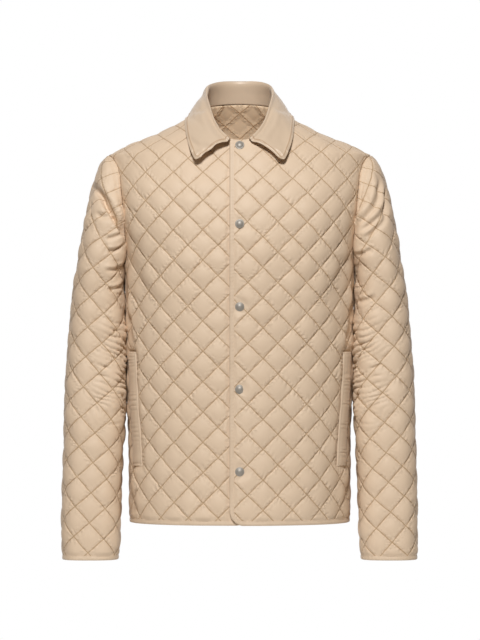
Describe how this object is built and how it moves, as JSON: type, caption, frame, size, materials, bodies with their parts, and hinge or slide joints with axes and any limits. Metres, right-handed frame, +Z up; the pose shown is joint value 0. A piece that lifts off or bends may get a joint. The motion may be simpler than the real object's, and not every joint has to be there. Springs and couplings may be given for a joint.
{
  "type": "quilted jacket",
  "caption": "Light diamond-quilted jacket with a plain folded collar, snap front, bound edges and long welt pockets, filled out as if worn.",
  "frame": {"origin": "on the axis of the wearer's neck at the height where the shoulder seams meet the collar, where the wearer's shoulders hold the jacket", "axes": "+Z up along the wearer's spine, the front faces -Y, +X is the wearer's left"},
  "size_m": [0.5877, 0.3009, 0.7909],
  "materials": {
    "quilted_shell": "satin",
    "plain_shell": "satin",
    "binding_tape": "satin",
    "snap_metal": "satin"
  },
  "bodies": {
    "root": {"front_left": "quilted_shell", "front_right": "quilted_shell", "back": "quilted_shell", "sleeve_left": "quilted_shell", "sleeve_right": "quilted_shell", "collar": "plain_shell", "pocket_welt_left": "plain_shell", "pocket_welt_right": "plain_shell", "edge_binding_left": "binding_tape", "edge_binding_right": "binding_tape", "hem_binding_back": "binding_tape", "cuff_binding_left": "binding_tape", "cuff_binding_right": "binding_tape", "snap_cap_1": "snap_metal", "snap_cap_2": "snap_metal", "snap_cap_3": "snap_metal", "snap_cap_4": "snap_metal", "snap_cap_5": "snap_metal"}
  },
  "joints": []
}
